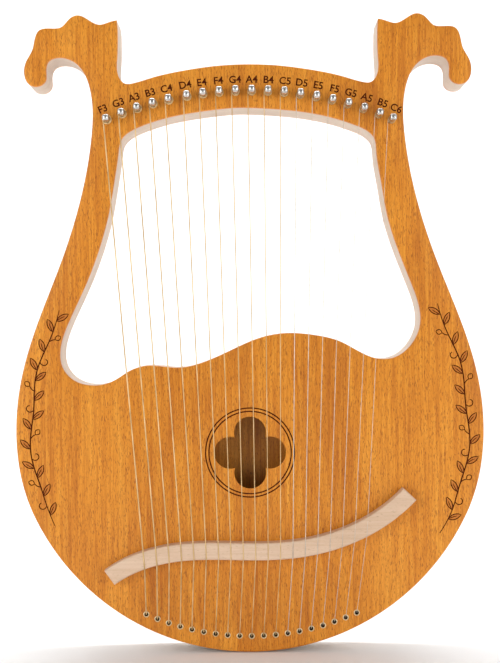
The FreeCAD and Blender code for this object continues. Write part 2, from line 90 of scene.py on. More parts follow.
def new_object(name, points, faces, materials, face_materials=None):
    """A mesh object at the origin, from points in the frame."""
    mesh = bpy.data.meshes.new(name)
    mesh.from_pydata([tuple(point) for point in points], [], faces)
    for material in materials:
        mesh.materials.append(material)
    if face_materials:
        mesh.polygons.foreach_set("material_index", face_materials)
    mesh.validate()
    piece = bpy.data.objects.new(name, mesh)
    bpy.context.scene.collection.objects.link(piece)
    return piece


def weld(piece, distance=0.002 * MM):
    """Join vertices that lie on each other, so that the mesh is closed, and face it outwards."""
    work = bmesh.new()
    work.from_mesh(piece.data)
    bmesh.ops.delete(work, geom=[vertex for vertex in work.verts if not vertex.link_faces], context="VERTS")
    bmesh.ops.remove_doubles(work, verts=work.verts, dist=distance)
    bmesh.ops.recalc_face_normals(work, faces=work.faces)
    work.to_mesh(piece.data)
    work.free()


def smooth(piece, degrees=40):
    """Smooth shading, but for faces square to the front and edges sharper than the given angle."""
    mesh = piece.data
    mesh.polygons.foreach_set("use_smooth", [abs(polygon.normal.y) < 0.9999 for polygon in mesh.polygons])
    mesh.set_sharp_from_angle(angle=math.radians(degrees))


def tube(path, radius, sides):
    """Points and faces of a round wire along a list of points; radius is one number or one per point."""
    count = len(path)
    radii = radius if isinstance(radius, list) else [radius] * count
    points, faces = [], []
    across = None
    for index, place in enumerate(path):
        ahead = path[min(index + 1, count - 1)]
        behind = path[max(index - 1, 0)]
        along = (ahead - behind).normalized()
        if across is None:
            across = along.orthogonal().normalized()
        across = (across - along * across.dot(along)).normalized()
        upward = along.cross(across)
        for side in range(sides):
            angle = math.tau * side / sides
            points.append(place + (across * math.cos(angle) + upward * math.sin(angle)) * radii[index])
    for index in range(count - 1):
        for side in range(sides):
            a = index * sides + side
            b = index * sides + (side + 1) % sides
            faces.append((a, b, b + sides, a + sides))
    faces.append(tuple(reversed(range(sides))))
    faces.append(tuple(range((count - 1) * sides, count * sides)))
    return points, faces


def turned(profile, place, steps):
    """Points and faces of a turned ring: profile is a closed list of (radius, height in front of place)."""
    count = len(profile)
    points, faces = [], []
    for step in range(steps):
        angle = math.tau * step / steps
        for radius, height in profile:
            points.append(place + Vector((radius * math.cos(angle), -height, radius * math.sin(angle))))
    for step in range(steps):
        ahead = (step + 1) % steps
        for index in range(count):
            other = (index + 1) % count
            faces.append((step * count + index, step * count + other,
                          ahead * count + other, ahead * count + index))
    return points, faces


def joined(parts):
    """Several (points, faces) pairs as one."""
    points, faces = [], []
    for part_points, part_faces in parts:
        start = len(points)
        points += part_points
        faces += [tuple(index + start for index in face) for face in part_faces]
    return points, faces


# ---------------------------------------------------------------- outlines read from the frame


def face_loops(node, depth):
    """Closed plan outlines of a node's flat face at a depth, longest first, all turning the same way."""
    mesh = NODES[node].data
    places, points, edges = {}, [], set()
    for polygon in mesh.polygons:
        corners = [mesh.vertices[index].co for index in polygon.vertices]
        if any(abs(corner.y - depth) > 0.01 * MM for corner in corners):
            continue
        keys = []
        for corner in corners:
            key = (round(corner.x / (0.001 * MM)), round(corner.z / (0.001 * MM)))
            if key not in places:
                places[key] = len(points)
                points.append(Vector((corner.x, corner.z)))
            keys.append(places[key])
        for start, end in zip(keys, keys[1:] + keys[:1]):
            if (end, start) in edges:
                edges.remove((end, start))
            else:
                edges.add((start, end))
    following = dict(edges)
    loops = []
    while following:
        first, current = following.popitem()
        loop = [first]
        while current != first:
            loop.append(current)
            current = following.pop(current)
        loops.append([points[index] for index in loop])
    loops.sort(key=loop_length, reverse=True)
    if signed_area(loops[0]) < 0:
        loops = [list(reversed(loop)) for loop in loops]
    return loops


def loop_length(loop):
    return sum((b - a).length for a, b in zip(loop, loop[1:] + loop[:1]))


def signed_area(loop):
    return sum(a.x * b.y - b.x * a.y for a, b in zip(loop, loop[1:] + loop[:1])) / 2


def refined(loop, spacing):
    """The loop with curved stretches filled in by a smooth curve, and its sharp corners kept."""
    count = len(loop)

    def turn(index):
        before = loop[index] - loop[index - 1]
        after = loop[(index + 1) % count] - loop[index]
        return abs(before.angle(after, 0))

    sharp = [turn(index) > math.radians(38) for index in range(count)]
    result = []
    for index in range(count):
        p1, p2 = loop[index], loop[(index + 1) % count]
        p0 = p1 * 2 - p2 if sharp[index] else loop[index - 1]
        p3 = p2 * 2 - p1 if sharp[(index + 1) % count] else loop[(index + 2) % count]
        length = (p2 - p1).length
        before, after = max((p1 - p0).length, 1e-7), max((p3 - p2).length, 1e-7)
        slope_1 = ((p1 - p0) / before + (p2 - p1) / length) * length / 2
        slope_2 = ((p2 - p1) / length + (p3 - p2) / after) * length / 2
        pieces = max(1, round(length / spacing))
        for step in range(pieces):
            t = step / pieces
            blend = (2 * t ** 3 - 3 * t ** 2 + 1, t ** 3 - 2 * t ** 2 + t,
                     -2 * t ** 3 + 3 * t ** 2, t ** 3 - t ** 2)
            result.append(p1 * blend[0] + slope_1 * blend[1] + p2 * blend[2] + slope_2 * blend[3])
    return result


def inset(loop, distance):
    """The loop moved into the material, which lies on its left."""
    count = len(loop)
    moved = []
    for index in range(count):
        before = (loop[index] - loop[index - 1]).normalized()
        after = (loop[(index + 1) % count] - loop[index]).normalized()
        normal = Vector((-before.y - after.y, before.x + after.x)).normalized()
        stretch = max(0.4, normal.dot(Vector((-after.y, after.x))))
        moved.append(loop[index] + normal * (distance / stretch))
    return moved


# ---------------------------------------------------------------- wooden plates


def inside(loop, places):
    """Which of the places, as rows of (x, z), lie inside a closed loop."""
    corners = np.array([tuple(point) for point in loop])
    found = np.zeros(len(places), bool)
    for (x1, z1), (x2, z2) in zip(corners, np.roll(corners, -1, axis=0)):
        crossed = (z1 > places[:, 1]) != (z2 > places[:, 1])
        if crossed.any():
            found ^= crossed & (places[:, 0] < x1 + (places[:, 1] - z1) * (x2 - x1) / (z2 - z1 or 1.0))
    return found


def flat_fill(outer, holes, grooves, tints):
    """Triangles between an outline and its holes. Returns plan points and (triangle, kind) pairs:
    kind is 0 for plain wood, 1 inside a groove and 2 inside a tinted shape."""
    points, edges = [], []
    for loop in [outer] + holes + grooves + tints:
        start = len(points)
        points += [point / MM for point in loop]
        edges += [(start + index, start + (index + 1) % len(loop)) for index in range(len(loop))]
    made_points, _, made_faces = delaunay_2d_cdt(points, edges, [], 0, 1e-3, False)[:3]
    places = np.array([tuple(point) for point in made_points])
    triangles = np.array(made_faces)
    middles = places[triangles].mean(axis=1)
    order = np.argsort(middles[:, 0])
    triangles, middles = triangles[order], middles[order]

    def mark(loops, kind):
        for loop in loops:
            scaled = [point / MM for point in loop]
            first, last = np.searchsorted(middles[:, 0], (min(p.x for p in scaled), max(p.x for p in scaled)))
            kinds[first:last][inside(scaled, middles[first:last])] = kind

    kinds = np.full(len(triangles), -1)
    mark([outer], 0)
    mark(tints, 2)
    mark(grooves, 1)
    mark(holes, -1)
    chosen = [(tuple(triangle), kind) for triangle, kind in zip(triangles.tolist(), kinds.tolist())
              if kind >= 0]
    return [point * MM for point in made_points], chosen


def wooden_plate(name, node, outward, grooves, tints, materials, wall_holes):
    """A thin plate with eased outer edges and engraved lines, on the outline of a CAD plate.
    outward is -1 for a plate that faces the front and 1 for one that faces the back."""
    low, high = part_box(node)
    face_y = low.y if outward < 0 else high.y
    rear_y = high.y if outward < 0 else low.y
    loops = face_loops(node, face_y)
    eased = [refined(loop, 2.5 * MM) for loop in loops[:2]]
    holes = [refined(loop, 0.4 * MM) for loop in loops[2:]]

    points, faces, face_kinds = [], [], []

    def add(new_points, new_faces, kinds):
        start = len(points)
        points.extend(new_points)
        faces.extend(tuple(index + start for index in face) for face in new_faces)
        face_kinds.extend(kinds)

    steps = 5
    rings = []
    for step in range(steps + 1):
        angle = math.pi / 2 * step / steps
        depth = face_y - outward * EDGE_ROUNDING * (1 - math.sin(angle))
        rings.append((EDGE_ROUNDING * (1 - math.cos(angle)), depth))
    rings.insert(0, (0.0, rear_y))
    for loop in eased:
        count = len(loop)
        ring_points = [Vector((p.x, depth, p.y)) for shift, depth in rings for p in inset(loop, shift)]
        ring_faces = [(ring * count + i, ring * count + (i + 1) % count,
                       (ring + 1) * count + (i + 1) % count, (ring + 1) * count + i)
                      for ring in range(len(rings) - 1) for i in range(count)]
        add(ring_points, ring_faces, [0] * len(ring_faces))
    for number, loop in enumerate(holes):
        count = len(loop)
        wall = [Vector((p.x, depth, p.y)) for depth in (rear_y, face_y) for p in loop]
        wall_faces = [(i, (i + 1) % count, count + (i + 1) % count, count + i) for i in range(count)]
        add(wall, wall_faces, [wall_holes] * count)

    inner = [inset(loop, EDGE_ROUNDING) for loop in eased]
    plan_points, triangles = flat_fill(inner[0], [inner[1]] + holes, grooves, tints)
    count = len(plan_points)
    floor = face_y - outward * ENGRAVING_DEPTH
    levels = [Vector((p.x, depth, p.y)) for depth in (face_y, floor) for p in plan_points]
    surface, surface_kinds, owner = [], [], {}
    for triangle, kind in triangles:
        for a, b in zip(triangle, triangle[1:] + triangle[:1]):
            owner[(a, b)] = kind == 1
        drop = count if kind == 1 else 0
        surface.append(tuple(index + drop for index in triangle))
        surface_kinds.append(kind)
    for (a, b), sunk in owner.items():
        if sunk and not owner.get((b, a), True):
            surface.append((a + count, b + count, b, a))
            surface_kinds.append(1)
    add(levels, surface, surface_kinds)

    rear_points, rear_triangles = flat_fill(eased[0], [eased[1]] + holes, [], [])
    add([Vector((p.x, rear_y, p.y)) for p in rear_points], [t for t, kind in rear_triangles],
        [0] * len(rear_triangles))

    piece = new_object(name, points, faces, materials, face_kinds)
    weld(piece)
    smooth(piece, 50)
    return piece


# ---------------------------------------------------------------- engraved lines


def bow(start, end, bend, steps=10):
    """Points along a shallow curve from start to end; bend is its height as a share of its length."""
    span = end - start
    side = Vector((-span.y, span.x))
    return [start + span * t + side * (4 * bend * t * (1 - t))
            for t in (step / steps for step in range(steps + 1))]


def ribbon(path, width, taper=0.25):
    """The cells of an engraved line along a path, thinner towards both ends."""
    count = len(path)
    left, right = [], []
    for index, place in enumerate(path):
        along = (path[min(index + 1, count - 1)] - path[max(index - 1, 0)]).normalized()
        normal = Vector((-along.y, along.x))
        t = index / (count - 1)
        half = width / 2 * (taper + (1 - taper) * min(1.0, 5 * min(t, 1 - t)))
        left.append(place + normal * half)
        right.append(place - normal * half)
    return [[left[index], right[index], right[index + 1], left[index + 1]] for index in range(count - 1)]


def turned_by(direction, degrees):
    """A plan direction turned anticlockwise as seen from the front."""
    angle = math.radians(degrees)
    return Vector((direction.x * math.cos(angle) - direction.y * math.sin(angle),
                   direction.x * math.sin(angle) + direction.y * math.cos(angle)))


def smooth_path(places, spacing):
    """Evenly spaced points along a smooth curve through the places."""
    result = []
    count = len(places)
    for index in range(count - 1):
        p1, p2 = places[index], places[index + 1]
        p0 = places[index - 1] if index else p1 * 2 - p2
        p3 = places[index + 2] if index + 2 < count else p2 * 2 - p1
        pieces = max(2, round((p2 - p1).length / spacing))
        for step in range(pieces):
            t = step / pieces
            result.append(0.5 * ((2 * p1) + (p2 - p0) * t + (2 * p0 - 5 * p1 + 4 * p2 - p3) * t ** 2
                                 + (3 * p1 - p0 - 3 * p2 + p3) * t ** 3))
    result.append(places[-1])
    return result


class Engraving:
    """Collects the lines and the tinted leaves of the panel's decoration."""

    def __init__(self):
        self.grooves = []
        self.tints = []

    def line(self, path, width=LINE_WIDTH, taper=0.25):
        self.grooves += ribbon(path, width, taper)

    def ring(self, centre, radius):
        """A full circle of even width."""
        turns = [2 * math.pi * step / RING_STEPS for step in range(RING_STEPS + 1)]
        path = [centre + Vector((math.cos(turn), math.sin(turn))) * radius for turn in turns]
        self.line(path, LINE_WIDTH, 1)

    def leaf(self, base, direction, length, width):
        """An outlined leaf with a short midrib."""
        tip = base + direction * length
        share = width / length / 2
        left = bow(base, tip, share)
        right = bow(base, tip, -share)
        self.line(left, 0.78 * LINE_WIDTH, 0.6)
        self.line(right, 0.78 * LINE_WIDTH, 0.6)
        self.line(bow(base, base + direction * length * 0.7, 0.04, 5), 0.62 * LINE_WIDTH)
        self.tints.append(left[1:-1] + list(reversed(right[1:-1])))

    def bud(self, base, direction, stalk, length):
        """A small pointed oval on a curved stalk."""
        neck = base + direction * stalk
        if stalk > LINE_WIDTH:
            self.line(bow(base, neck, 0.1, 6), 0.8 * LINE_WIDTH, 0.7)
        tip = neck + turned_by(direction, 8) * length
        self.line(bow(neck, tip, 0.38), 0.75 * LINE_WIDTH, 0.7)
        self.line(bow(neck, tip, -0.38), 0.75 * LINE_WIDTH, 0.7)

    def curl(self, base, direction, reach, side):
        """A tendril that rolls back on itself."""
        steps = 16
        centre = base + direction * reach * 0.55 + turned_by(direction, 90 * side) * reach * 0.3
        start = base - centre
        path = []
        for step in range(steps + 1):
            t = step / steps
            path.append(centre + turned_by(start, -side * 250 * t) * (1 - 0.42 * t))
        self.line(path, 0.8 * LINE_WIDTH, 0.7)

    def text(self, word, centre, degrees, height):
        """A short label cut as filled letters, centred on a place and turned with it."""
        curve = bpy.data.curves.new("label", "FONT")
        curve.body = word
        curve.align_x = "CENTER"
        curve.align_y = "CENTER"
        curve.resolution_u = 4
        curve.offset = 0.02
        holder = bpy.data.objects.new("label", curve)
        bpy.context.scene.collection.objects.link(holder)
        bpy.context.view_layer.update()
        mesh = holder.evaluated_get(bpy.context.evaluated_depsgraph_get()).to_mesh()
        places = [Vector((vertex.co.x, vertex.co.y)) for vertex in mesh.vertices]
        tall = max(place.y for place in places) - min(place.y for place in places)
        middle = (max(place.y for place in places) + min(place.y for place in places)) / 2
        for polygon in mesh.polygons:
            corners = [places[index] - Vector((0, middle)) for index in polygon.vertices]
            self.grooves.append([centre + turned_by(corner, degrees) * (height / tall) for corner in corners])
        bpy.data.objects.remove(holder)


def spray_stem(loop, side):
    """A gently waving line down one side of the body, a little way in from its edge."""
    edge = sorted((point for point in loop if point.x * side > 0 and SPRAY_LOW < point.y < SPRAY_TOP),
                  key=lambda point: -point.y)
    edge = smooth_path(edge[::SPRAY_THINNING], SPRAY_SPACING)
    stem = []
    for number in range(1, len(edge) - 1):
        along = (edge[number + 1] - edge[number - 1]).normalized()
        wave = math.sin(2 * math.pi * number * SPRAY_SPACING / SPRAY_WAVE)
        stem.append(edge[number] + turned_by(along, -90 * side) * (SPRAY_INSET + SPRAY_SWAY * wave))
    return stem


def side_spray(art, loop, side):
    """A leafy stem down one side of the body: leaves, buds and tendrils in turn, on alternate sides of it."""
    stem = spray_stem(loop, side)
    art.line(stem, LINE_WIDTH, 0.6)
    gap = round(GROWTH_GAP / SPRAY_SPACING)
    for turn, number in enumerate(range(gap, len(stem) - gap, gap)):
        upward = (stem[number - 1] - stem[number + 1]).normalized()
        outwards = 1 if turn % 2 else -1
        direction = turned_by(upward, -side * outwards * GROWTH_LEAN)
        kind = GROWTHS[turn % len(GROWTHS)]
        if kind == "leaf":
            art.leaf(stem[number], direction, GROWTH_LENGTH, GROWTH_LENGTH * 0.37)
        elif kind == "bud":
            art.bud(stem[number], direction, GROWTH_LENGTH * 0.5, GROWTH_LENGTH * 0.45)
        else:
            art.curl(stem[number], direction, GROWTH_LENGTH * 0.5, -side * outwards)


def circle_through(a, b, c):
    """Centre of the circle through three plan points."""
    rows = np.array([[b.x - a.x, b.y - a.y], [c.x - a.x, c.y - a.y]]) * 2
    sums = np.array([b.length_squared - a.length_squared, c.length_squared - a.length_squared])
    return Vector(np.linalg.solve(rows, sums))


def note_labels(art):
    """The name of its note above each pin, turned with the arc of the pins."""
    places = [Vector((PINS[note].x, PINS[note].z)) for note in NOTES]
    centre = circle_through(places[0], places[len(places) // 2], places[-1])
    for note, place in zip(NOTES, places):
        outward = (place - centre).normalized()
        tilt = -math.degrees(math.atan2(outward.x, outward.y))
        art.text(note, place + outward * LABEL_RISE, tilt, LABEL_HEIGHT)


# ---------------------------------------------------------------- materials


class Surface:
    """One node material, with short ways to add its nodes."""

    def __init__(self, name):
        self.material = bpy.data.materials.new(name)
        self.material.use_nodes = True
        self.nodes = self.material.node_tree.nodes
        self.links = self.material.node_tree.links
        self.shader = self.nodes["Principled BSDF"]
        self.place = self.add("TexCoord").outputs["Object"]

    def add(self, kind, **inputs):
        """A node with its inputs linked to sockets or set to values; spaces in names are underscores."""
        node = self.nodes.new("ShaderNode" + kind)
        for name, value in inputs.items():
            self.put(node.inputs[name.replace("_", " ")], value)
        return node

    def put(self, socket, value):
        if isinstance(value, bpy.types.NodeSocket):
            self.links.new(value, socket)
        else:
            socket.default_value = value

    def set(self, **inputs):
        for name, value in inputs.items():
            self.put(self.shader.inputs[name.replace("_", " ")], value)

    def noise(self, scales, detail=2.0, roughness=0.5, shift=0.0):
        """Noise with its own number of cells per metre along X, Y and Z."""
        mapped = self.add("Mapping", Vector=self.place, Scale=scales, Location=(shift, shift, shift))
        texture = self.add("TexNoise", Vector=mapped.outputs[0], Scale=1.0, Detail=detail,
                           Roughness=roughness)
        return texture.outputs["Fac"]

    def ramp(self, factor, stops):
        """A colour or grey that follows a factor; stops are (position, colour) pairs."""
        node = self.add("ValToRGB", Fac=factor)
        while len(node.color_ramp.elements) < len(stops):
            node.color_ramp.elements.new(0.5)
        for element, (position, colour) in zip(node.color_ramp.elements, stops):
            element.position = position
            element.color = (*colour, 1.0) if isinstance(colour, tuple) else (colour, colour, colour, 1.0)
        return node.outputs["Color"]

    def mix(self, factor, first, second, how="MIX"):
        node = self.nodes.new("ShaderNodeMix")
        node.data_type = "RGBA"
        node.blend_type = how
        self.put(node.inputs["Factor"], factor)
        for socket, value in ((node.inputs[6], first), (node.inputs[7], second)):
            self.put(socket, (*value, 1.0) if isinstance(value, tuple) else value)
        return node.outputs[2]

    def share(self, factor, amount):
        """A factor turned down to a share of itself."""
        node = self.nodes.new("ShaderNodeMath")
        node.operation = "MULTIPLY"
        self.put(node.inputs[0], factor)
        self.put(node.inputs[1], amount)
        return node.outputs[0]

    def bump(self, height, strength, distance):
        node = self.add("Bump", Height=height, Strength=strength, Distance=distance)
        self.set(Normal=node.outputs["Normal"])


def along(axis, across, lengthwise):
    """Noise scales for a grain that runs along one axis: 0 is X, 1 is Y and 2 is Z."""
    scales = [across, across, across]
    scales[axis] = lengthwise
    return scales


def wood(name, axis, dark, middle, light, pore, pore_amount, contrast, gloss):
    """Lacquered wood: broad bands, fine streaks and short open pores along the grain."""
    surface = Surface(name)
    bands = surface.noise(along(axis, 48, 4), 4, 0.6, 1.7)
    streaks = surface.noise(along(axis, 620, 22), 5, 0.7, 4.1)
    flecks = surface.noise(along(axis, 1500, 210), 3, 0.6, 7.9)
    tone = surface.ramp(bands, [(0.34, dark), (0.5, middle), (0.68, light)])
    fine = surface.ramp(streaks, [(0.36, dark), (0.5, middle), (0.63, light)])
    colour = surface.mix(contrast, tone, fine)
    fleck_mask = surface.ramp(flecks, [(0.5, 0.0), (0.68, 1.0)])
    colour = surface.mix(surface.share(fleck_mask, 0.6 * contrast), colour, dark)
    pores = surface.noise(along(axis, 2300, 330), 2, 0.5, 12.3)
    pore_mask = surface.ramp(pores, [(1 - pore_amount, 0.0), (1 - pore_amount + 0.07, 1.0)])
    colour = surface.mix(surface.share(pore_mask, 0.7), colour, pore)
    roughness = surface.ramp(streaks, [(0.3, gloss + 0.1), (0.7, gloss)])
    surface.set(Base_Color=colour, Roughness=roughness, Coat_Weight=0.1, Coat_Roughness=0.3,
                Specular_IOR_Level=0.25)
    surface.bump(surface.mix(pore_mask, streaks, (0.0, 0.0, 0.0)), 0.18, 0.25 * MM)
    return surface.material


def dark_surface(name):
    """Burnt to a dark reddish brown, matt and slightly uneven; the same dark brown also serves as painted shade
    inside the eyelet bores.
    """
    surface = Surface(name)
    mottle = surface.noise((700, 700, 700), 3)
    colour = surface.ramp(mottle, [(0.35, (0.050, 0.009, 0.004)), (0.7, (0.110, 0.022, 0.009))])
    surface.set(Base_Color=colour, Roughness=0.9, Specular_IOR_Level=0.0)
    surface.bump(mottle, 0.3, 0.1 * MM)
    return surface.material


def metal(name, dark, light, roughness, scratch_scales, metallic=1.0):
    """Bare metal with faint tarnish and fine lengthwise marks."""
    surface = Surface(name)
    tarnish = surface.noise((260, 260, 260), 3, 0.6)
    marks = surface.noise(scratch_scales, 3, 0.6, 3.3)
    surface.set(Base_Color=surface.ramp(tarnish, [(0.35, dark), (0.65, light)]), Metallic=metallic,
                Roughness=surface.ramp(marks, [(0.3, roughness), (0.7, roughness + 0.14)]))
    surface.bump(marks, 0.06, 0.05 * MM)
    return surface.material


def wound_metal(name, dark, light, pitch):
    """A string with a fine close winding; pitch is the winding's spacing."""
    surface = Surface(name)
    wave = surface.add("TexWave", Vector=surface.place, Scale=math.pi / 10 / pitch, Distortion=0.0)
    wave.bands_direction = "Z"
    tint = surface.noise((500, 500, 60), 2)
    # The colour darkens towards the low part of the wave, the gaps between the turns: painted shade in the grooves
    # of the winding.
    colour = surface.mix(surface.ramp(wave.outputs["Fac"], [(0.1, 0.35), (0.6, 0.0)]),
                         surface.ramp(tint, [(0.35, dark), (0.65, light)]), dark)
    surface.set(Base_Color=colour, Metallic=0.4, Roughness=0.42)
    surface.bump(wave.outputs["Fac"], 0.25, 0.05 * MM)
    return surface.material


MAHOGANY = dict(dark=(0.45, 0.130, 0.010), middle=(0.66, 0.235, 0.018), light=(0.80, 0.345, 0.040),
                pore=(0.26, 0.060, 0.006), pore_amount=0.425, contrast=0.6, gloss=0.36)
MAPLE = dict(dark=(0.50, 0.36, 0.25), middle=(0.58, 0.44, 0.33), light=(0.64, 0.51, 0.40),
             pore=(0.42, 0.28, 0.18), pore_amount=0.36, contrast=0.4, gloss=0.44)

mahogany = wood("mahogany", 2, **MAHOGANY)
tinted_mahogany = wood("mahogany_scorched", 2, **{**MAHOGANY, "middle": (0.50, 0.155, 0.014),
                                                  "light": (0.60, 0.21, 0.025)})
burnt = dark_surface("burnt_wood")
maple_upright = wood("maple_upright", 2, **MAPLE)
maple_level = wood("maple_level", 0, **MAPLE)
bridge_maple = wood("bridge_maple", 0, **{**MAPLE, "dark": (0.56, 0.38, 0.25), "middle": (0.66, 0.47, 0.33),
                                          "light": (0.72, 0.54, 0.40)})
nickel = metal("nickel", (0.46, 0.45, 0.43), (0.68, 0.67, 0.65), 0.2, (300, 900, 300))
eyelet_metal = metal("eyelet_metal", (0.66, 0.50, 0.26), (0.84, 0.70, 0.44), 0.36, (600, 600, 600), 0.4)
# The eyelets' bores get a dark brown with no shine: painted shade standing in for the shadow inside the holes.
bore_painted_shade = dark_surface("eyelet_bore_painted_shade")
brass = metal("ball_brass", (0.55, 0.36, 0.12), (0.80, 0.58, 0.25), 0.24, (500, 500, 500))
bronze_winding = wound_metal("bronze_winding", (0.50, 0.32, 0.13), (0.80, 0.57, 0.29), 0.34 * MM)
steel = metal("string_steel", (0.50, 0.42, 0.34), (0.68, 0.59, 0.49), 0.34, (900, 900, 60), 0.4)


# ---------------------------------------------------------------- body


def panel_decoration():
    """Everything engraved on the front panel."""
    art = Engraving()
    loops = face_loops("front_plate", FRONT)
    across = [point.x for point in loops[2]]
    upright = [point.y for point in loops[2]]
    middle = Vector(((min(across) + max(across)) / 2, (min(upright) + max(upright)) / 2))
    for gap in RING_GAPS:
        art.ring(middle, (max(across) - min(across)) / 2 + gap)
    for side in (-1, 1):
        side_spray(art, loops[0], side)
    note_labels(art)
    return art


def build_body():
    art = panel_decoration()
    front = wooden_plate("front_panel", "front_plate", -1, art.grooves, art.tints,
                         [mahogany, burnt, tinted_mahogany], 1)
    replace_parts(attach(front, "root"), "front_plate")
    rear = wooden_plate("back_panel", "back_plate", 1, [], [], [mahogany, burnt, tinted_mahogany], 0)
    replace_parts(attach(rear, "root"), "back_plate")
    upright = ("left_arm", "right_arm", "left_side", "right_side",
               "left_soundboard_brace", "right_soundboard_brace")
    level = ("head_block", "waist_bar", "tail_block", "back_brace")
    for names, material in ((upright, maple_upright), (level, maple_level)):
        for name in names:
            slots = NODES[name].data.materials
            slots.clear()
            slots.append(material)


def build_bridge(routes):
    """The S-shaped maple bridge, with rounded upper edges and a groove under each string."""
    low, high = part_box("bridge")
    outline = refined(face_loops("bridge", high.y)[0], 2 * MM)
    count = len(outline)
    rounding = 1.4 * MM
    rings = [(0.0, high.y)]
    for step in range(6):
        angle = math.pi / 2 * step / 5
        rings.append((rounding * (1 - math.cos(angle)), low.y + rounding * (1 - math.sin(angle))))
    points = [Vector((p.x, depth, p.y)) for shift, depth in rings for p in inset(outline, shift)]
    faces = [(ring * count + i, ring * count + (i + 1) % count, (ring + 1) * count + (i + 1) % count,
              (ring + 1) * count + i) for ring in range(len(rings) - 1) for i in range(count)]
    for ring, depth in ((0, high.y), (len(rings) - 1, low.y)):
        loop = inset(outline, rings[ring][0])
        plan_points, triangles = flat_fill(loop, [], [], [])
        start = len(points)
        points += [Vector((p.x, depth, p.y)) for p in plan_points]
        faces += [tuple(index + start for index in triangle) for triangle, kind in triangles]
    piece = new_object("bridge_maple", points, faces, [bridge_maple])
    weld(piece)

    cutters = []
    for note in NOTES:
        route, radius = routes[note]
        crest = route[1]
        for other in (route[0], route[2]):
            run = (other - crest).normalized()
            cutters.append(tube([crest - run * 1.5 * MM, crest + run * 26 * MM], radius + 0.08 * MM, 12))
    cutter = new_object("groove_cutter", *joined(cutters), [bridge_maple])
    cut = piece.modifiers.new("grooves", "BOOLEAN")
    cut.object = cutter
    cut.operation = "DIFFERENCE"
    cut.solver = "EXACT"
    cut.use_self = True
    result = bpy.data.meshes.new_from_object(piece.evaluated_get(bpy.context.evaluated_depsgraph_get()))
    piece.modifiers.clear()
    piece.data = result
    bpy.data.objects.remove(cutter)
    smooth(piece, 40)
    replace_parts(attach(piece, "root"), "bridge")


# ---------------------------------------------------------------- strings and hardware


def ring_centre(points, test):
    """Mean place of the points that pass a test."""
    chosen = [point for point in points if test(point)]
    return sum(chosen, Vector()) / len(chosen)


def string_route(note):
    """A string's corners (pin, bridge, eyelet, ball end) and radius, read from its CAD node."""
    points = [vertex.co.copy() for vertex in NODES["string_" + note].data.vertices]
    top = max(point.z for point in points)
    rear = max(point.y for point in points)
    proud = min(point.y for point in points)
    start = ring_centre(points, lambda point: point.z > top - 0.3 * MM)
    end = ring_centre(points, lambda point: point.y > rear - 0.01 * MM)
    radius = max((point - end).length for point in points if point.y > rear - 0.01 * MM)
    crest = ring_centre(points, lambda point: abs(point.y - proud) < 1.2 * MM and point.z < start.z / 2
                        and point.z > end.z + 20 * MM)
    eyelet_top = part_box("string_eyelets")[0].y
    return [start, crest, Vector((end.x, eyelet_top - radius, end.z)), end], radius


def rounded_route(corners, radius, steps=6):
    """The corners of a path with each bend eased by a short curve."""
    path = [corners[0]]
    for before, corner, after in zip(corners, corners[1:], corners[2:]):
        start = corner + (before - corner).normalized() * radius
        end = corner + (after - corner).normalized() * radius
        for step in range(steps + 1):
            t = step / steps
            path.append(start * (1 - t) ** 2 + corner * 2 * t * (1 - t) + end * t ** 2)
    path.append(corners[-1])
    return path


def build_strings(routes):
    """The strings, wound in bronze for the lower notes and plain steel for the higher ones."""
    slots = {row["node"]: row["material_slot"] for row in frame["record"]["subparts"]}
    for note in NOTES:
        corners, radius = routes[note]
        wound = slots["string_" + note] == "wound_string"
        piece = new_object("wire_" + note, *tube(rounded_route(corners, 1.0 * MM), radius, 14),
                           [bronze_winding if wound else steel])
        smooth(piece)
        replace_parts(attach(piece, "root"), "string_" + note)


def pin_section(angle, squareness):
    """Radius of a pin's cross-section at an angle: round at squareness 0 and a rounded square at 1."""
    round_radius = 2.5 * MM
    half = 2.45 * MM
    corner = 2.75 * MM
    square = min(corner, half / max(abs(math.cos(angle)), abs(math.sin(angle))))
    return round_radius * (1 - squareness) + square * squareness


def pin_mesh(place, low, high):
    """A tuning pin: round shank, milled square and a bevelled, gently domed end."""
    sides = 48
    dome_steps = 9
    dome = 1.9 * MM
    ease = 0.5 * MM
    square_start = low + 8.4 * MM
    levels = [(high, 0, 0.8), (high - 1 * MM, 0, 1.0), (square_start + ease, 0, 1.0),
              (square_start, 0.8, 1.0), (square_start - ease, 1, 1.0), (low + dome, 1, 1.0)]
    for step in range(1, dome_steps):
        angle = math.pi / 2 * step / dome_steps
        squareness = 1 - 0.5 * step / dome_steps
        levels.append((low + dome * (1 - math.sin(angle)), squareness, math.cos(angle) ** 0.8))
    points, faces = [], []
    for depth, squareness, scale in levels:
        for side in range(sides):
            angle = math.tau * side / sides
            radius = pin_section(angle, squareness) * scale
            points.append(Vector((place.x + radius * math.cos(angle), depth,
                                  place.z + radius * math.sin(angle))))
    for level in range(len(levels) - 1):
        for side in range(sides):
            a = level * sides + side
            b = level * sides + (side + 1) % sides
            faces.append((a, b, b + sides, a + sides))
    faces.append(tuple(reversed(range(sides))))
    faces.append(tuple(range((len(levels) - 1) * sides, len(levels) * sides)))
    return points, faces


def coil_path(place, start, radius):
    """The turns of a string on its pin, from the string's own level out to the pin's eye."""
    turns = 3.6
    reach = 2.5 * MM + radius
    steps = 110
    path = []
    for step in range(steps + 1):
        turn = turns * step / steps
        angle = math.pi - math.tau * turn
        depth = start.y - 2 * radius - 0.05 * MM - radius - 2.02 * radius * min(turn, turns - 0.4)
        path.append(Vector((place.x + reach * math.cos(angle), depth, place.z + reach * math.sin(angle))))
    angle = math.pi - math.tau * turns
    inward = Vector((-math.cos(angle), 0, -math.sin(angle)))
    path.append(path[-1] + inward * 0.7 * MM + Vector((0, -0.5 * MM, 0)))
    path.append(path[-1] + inward * 1.6 * MM)
    return path


